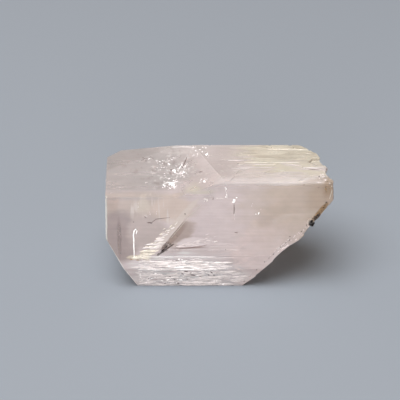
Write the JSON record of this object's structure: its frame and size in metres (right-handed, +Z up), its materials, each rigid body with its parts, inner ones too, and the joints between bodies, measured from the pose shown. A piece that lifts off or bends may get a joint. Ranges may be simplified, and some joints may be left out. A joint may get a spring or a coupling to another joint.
{
  "type": "danburite crystal",
  "caption": "Pale pink, clear prismatic danburite crystal with a grown end and a broken end, lying on a prism face.",
  "frame": {"origin": "centre of the bounding box in X and Y, at the height of the flat prism face that it rests on", "axes": "+X along the c axis, from the grown end towards the broken end; +Y across the crystal, away from the broad smooth front face; +Z up from the resting face"},
  "size_m": [0.036, 0.0144, 0.0191],
  "materials": {
    "danburite": "gloss"
  },
  "bodies": {
    "root": {"danburite_crystal": "danburite"}
  },
  "joints": []
}
